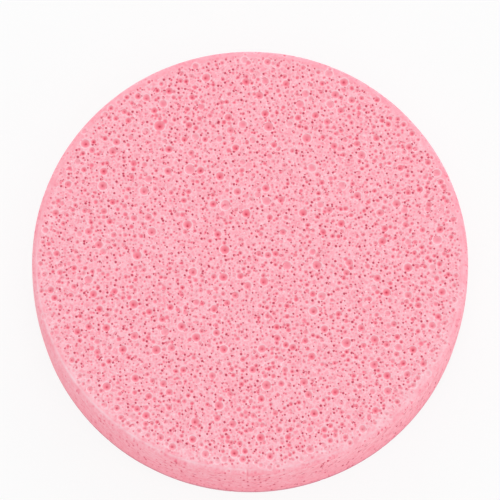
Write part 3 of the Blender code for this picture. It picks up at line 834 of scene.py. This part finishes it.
def foamMasks(tree):
    # How strongly each layer of colour, painted shade and painted highlight shows at a point, from 0 to 1
    look = maskLook
    cut, flat = bubbleGroup("cut_bubbles", "3D"), bubbleGroup("flat_bubbles", "2D")

    def bubbled(name, group, where):
        return callGroup(tree, group, {"Place": where, **bubbleLook[name]})

    def power(value, name):
        return calc(tree, "POWER", value, look[name])

    def share(value, name):
        return times(tree, value, look[name])

    def larger(first, second):
        return calc(tree, "MAXIMUM", first, second)

    # Places on the faces, on the wall, and along the wall's slant
    place = put(tree, "ShaderNodeTexCoord").outputs["Object"]
    axes = put(tree, "ShaderNodeSeparateXYZ", {0: place}).outputs
    height = axes["Z"]
    spread = vcalc(tree, "ADD", place, scaled(tree, look["sideShift"], height))
    upright = vcalc(tree, "MULTIPLY", place, (1.0, 1.0, look["wallSquash"]))
    along = share(vcalc(tree, "DOT_PRODUCT", place, look["streakLine"]), "streakStretch")
    slanted = vcalc(tree, "ADD", upright, scaled(tree, look["streakLine"], along))

    wall, bare = power(field(tree, "wallShare"), "wallPower"), field(tree, "faceShare")
    toSide = vcalc(tree, "DOT_PRODUCT", place, look["streakSide"])
    toSide = calc(tree, "DIVIDE", toSide, look["streakSpan"] * discRadius)
    toSide = calc(tree, "ADD", toSide, look["streakMiddle"], clamp=True)
    rim = field(tree, "rimShare")
    inner = oneMinus(tree, share(rim, "rimFade"))
    pit, deep, hole = (times(tree, field(tree, name), inner) for name in ("pit", "deep", "hole"))
    solid = oneMinus(tree, share(pit, "cellFade"), clamp=True)

    # Fine cells and pinholes between the modelled cells, and the wall's streaks, painted as shade
    pale, fine = bubbled("pale", cut, place), bubbled("fine", cut, place)
    paleMask = times(tree, power(pale["Inside"], "palePower"), solid, bare)
    fineMask = times(tree, power(fine["Inside"], "finePower"), solid, raised(tree, bare, look["fineOnWall"]))
    facePins = times(tree, bubbled("pin", flat, spread)["Inside"], solid, bare, inner)
    wallPins = times(tree, bubbled("wallPin", cut, upright)["Inside"], solid, wall,
                     raised(tree, toSide, look["leastPins"]))
    streaks = times(tree, bubbled("streak", cut, slanted)["Inside"], wall, toSide)
    pins = larger(facePins, larger(wallPins, streaks))

    def mottle(where):
        return calc(tree, "ADD", share(cloud(tree, "cloud", where), "cloudShare"),
                    share(cloud(tree, "grain", where), "grainShare"))

    mottled = calc(tree, "ADD", times(tree, mottle(place), oneMinus(tree, wall)),
                   times(tree, mottle(slanted), wall))
    shaded = times(tree, larger(share(fineMask, "fineShare"), share(paleMask, "paleShare")), inner)

    # Painted highlights: pale lips, glints beside the pinholes, and the pale broken crease at the edge
    pinGlints = bubbled("pin", flat, vcalc(tree, "ADD", spread, look["glintShift"]))["Inside"]
    faceHighlights = larger(pinGlints, share(pale["Lip"], "paleLipShare"))
    faceHighlights = times(tree, larger(faceHighlights, cloud(tree, "paintedGlint", spread)), bare)
    highlights = larger(times(tree, field(tree, "lip"), oneMinus(tree, share(wall, "wallLipFade"))), faceHighlights)
    broken = calc(tree, "ADD", share(cloud(tree, "wideGap", place), "creaseShare"), look["creaseLeast"])
    broken = times(tree, broken, raised(tree, cloud(tree, "fineGap", place), look["creaseFineLeast"]))
    crease = times(tree, field(tree, "crease"), broken)
    crease = calc(tree, "MULTIPLY", crease, look["creaseGain"], clamp=True)
    crease = times(tree, crease, oneMinus(tree, share(toSide, "creaseSideFade")))

    # Painted contact shadow, darkest where the wall meets the floor
    footShadowMask = oneMinus(tree, calc(tree, "DIVIDE", height, look["footShadowHeight"]), clamp=True)
    return {
        "wall": wall,
        "rim": rim,
        # painted shade, darker towards the bottom of the wall
        "low": oneMinus(tree, calc(tree, "DIVIDE", height, discHeight), clamp=True),
        "far": calc(tree, "ADD", calc(tree, "DIVIDE", axes["Y"], 2 * discRadius), 0.5),
        "shaded": calc(tree, "ADD", shaded, times(tree, mottled, solid)),
        "highlights": share(larger(times(tree, highlights, solid), crease), "lipShare"),
        "pit": pit,
        "deep": deep,
        "hole": power(hole, "holePower"),
        "pinShadeRing": share(power(pins, "pinShadeRingPower"), "pinShadeRingShare"),
        "pin": power(pins, "pinPower"),
        "footShadowMask": times(tree, calc(tree, "MULTIPLY", footShadowMask, look["footShadowGain"], clamp=True), wall),
        "sunk": calc(tree, "ADD", fineMask, paleMask),
    }


def foamColour(tree, masks):
    look = foamLook
    web = mixColour(tree, masks["far"], look["web"], look["farWeb"])
    web = mixColour(tree, masks["rim"], web, look["rim"])
    wall = mixColour(tree, masks["low"], look["wallTop"], look["wallLow"])
    ground = mixColour(tree, masks["wall"], web, wall)
    shade = mixColour(tree, masks["wall"], look["webShade"], look["wallShade"])
    ground = mixColour(tree, masks["shaded"], ground, shade)
    # Painted highlights, then the painted shade of cells and pinholes, then the painted contact shadow
    for name, colour in (("highlights", "lip"), ("pit", "bowl"), ("deep", "deep"), ("hole", "hole"),
                         ("pinShadeRing", "deep"), ("pin", "pin"), ("footShadowMask", "footShadow")):
        ground = mixColour(tree, masks[name], ground, look[colour])
    return ground


def foamMaterial():
    material = bpy.data.materials.new("pink_foam")
    material.use_nodes = True
    tree = material.node_tree
    surface = tree.nodes["Principled BSDF"].inputs
    masks = foamMasks(tree)
    relief = {"Height": times(tree, masks["sunk"], -1.0), "Strength": 1.0, "Distance": maskLook["bumpDepth"]}
    bump = put(tree, "ShaderNodeBump", relief)
    tree.links.new(foamColour(tree, masks), surface["Base Color"])
    tree.links.new(bump.outputs[0], surface["Normal"])
    for label, value in foamShader.items():
        surface[label].default_value = value
    return material


sponge = makeSkin()
openCells(sponge, foamMaterial())
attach(sponge, "root")
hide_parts("sponge_disc")
print("sponge placed")

# Floor, light and camera

stageLook = {
    "floorSize": 4.0,
    "floorDrop": 0.00005,  # keeps the floor out of the base's own plane
    "floorColour": (0.93, 0.93, 0.93),
    "white": 0.985,
    "whiteShare": 0.88,    # how much of the floor that the camera sees is plain white
    "skyTop": 0.54,
    "skyRim": 1.42,        # the sky is brighter towards the horizon
    "skyPower": 2.0,
}

lampLook = {
    "key": {"energy": 3.4, "size": 0.9, "place": (0.10, -0.34, 1.25)},
    "side": {"energy": 0.9, "size": 0.5, "place": (1.0, -0.1, 0.45)},   # the right wall is the palest
    "back": {"energy": 1.8, "size": 0.6, "place": (0.05, 0.75, 0.38)},  # catches the far edge
}


def showWhite(tree, shader, share):
    # Camera, glossy and transmission rays see plain white in that share
    rays = put(tree, "ShaderNodeLightPath").outputs
    seen = calc(tree, "MAXIMUM", rays["Is Glossy Ray"], rays["Is Transmission Ray"])
    seen = calc(tree, "MAXIMUM", rays["Is Camera Ray"], seen)
    white = put(tree, "ShaderNodeEmission", {"Color": (1, 1, 1, 1), "Strength": stageLook["white"]})
    mixed = put(tree, "ShaderNodeMixShader", {0: times(tree, seen, share), 1: shader, 2: white.outputs[0]})
    return mixed.outputs[0]


def makeFloor():
    half, level = stageLook["floorSize"] / 2, -stageLook["floorDrop"]
    mesh = bpy.data.meshes.new("floor")
    corners = [(x, y, level) for x, y in ((-half, -half), (half, -half), (half, half), (-half, half))]
    mesh.from_pydata(corners, [], [(0, 1, 2, 3)])
    floor = addObject("floor", mesh)
    material = bpy.data.materials.new("pale_floor")
    material.use_nodes = True
    tree = material.node_tree
    tree.nodes.clear()
    matt = put(tree, "ShaderNodeBsdfDiffuse", {"Color": (*stageLook["floorColour"], 1)}).outputs[0]
    put(tree, "ShaderNodeOutputMaterial", {"Surface": showWhite(tree, matt, stageLook["whiteShare"])})
    mesh.materials.append(material)


def makeSky():
    world = bpy.data.worlds.new("studio")
    bpy.context.scene.world = world
    world.use_nodes = True
    tree = world.node_tree
    tree.nodes.clear()
    direction = put(tree, "ShaderNodeTexCoord").outputs["Generated"]
    rise = calc(tree, "ABSOLUTE", put(tree, "ShaderNodeSeparateXYZ", {0: direction}).outputs["Z"])
    nearRim = calc(tree, "POWER", oneMinus(tree, rise, clamp=True), stageLook["skyPower"])
    gain = times(tree, nearRim, stageLook["skyRim"] - stageLook["skyTop"])
    strength = calc(tree, "ADD", gain, stageLook["skyTop"])
    sky = put(tree, "ShaderNodeBackground", {"Color": (1, 1, 1, 1), "Strength": strength}).outputs[0]
    put(tree, "ShaderNodeOutputWorld", {"Surface": showWhite(tree, sky, 1.0)})


def makeLamps():
    for name, look in lampLook.items():
        lamp = bpy.data.lights.new(name, "AREA")
        lamp.shape = "DISK"
        lamp.size = look["size"]
        lamp.energy = look["energy"]
        holder = addObject(name, lamp)
        holder.location = look["place"]
        holder.rotation_euler = holder.location.to_track_quat("Z", "Y").to_euler()


viewpoint = {
    "elevation": 76.1,  # degrees above the horizon
    "distance": 0.88,
    "lens": 348.0,
    "aimUp": 0.0018,    # the view's middle lies this far above the top face's centre
    "clipEnd": 20.0,
}


def makeCamera():
    camera = addObject("camera", bpy.data.cameras.new("camera"))
    tilt = math.radians(90 - viewpoint["elevation"])
    camera.rotation_euler = (tilt, 0, 0)
    reach, aim = viewpoint["distance"], viewpoint["aimUp"]
    camera.location = (0, aim * math.cos(tilt) - reach * math.sin(tilt),
                       discHeight + aim * math.sin(tilt) + reach * math.cos(tilt))
    camera.data.lens = viewpoint["lens"]
    camera.data.clip_end = viewpoint["clipEnd"]
    bpy.context.scene.camera = camera


makeFloor()
makeSky()
makeLamps()
makeCamera()
bpy.context.scene.view_settings.view_transform = "Standard"
print("stage ready")
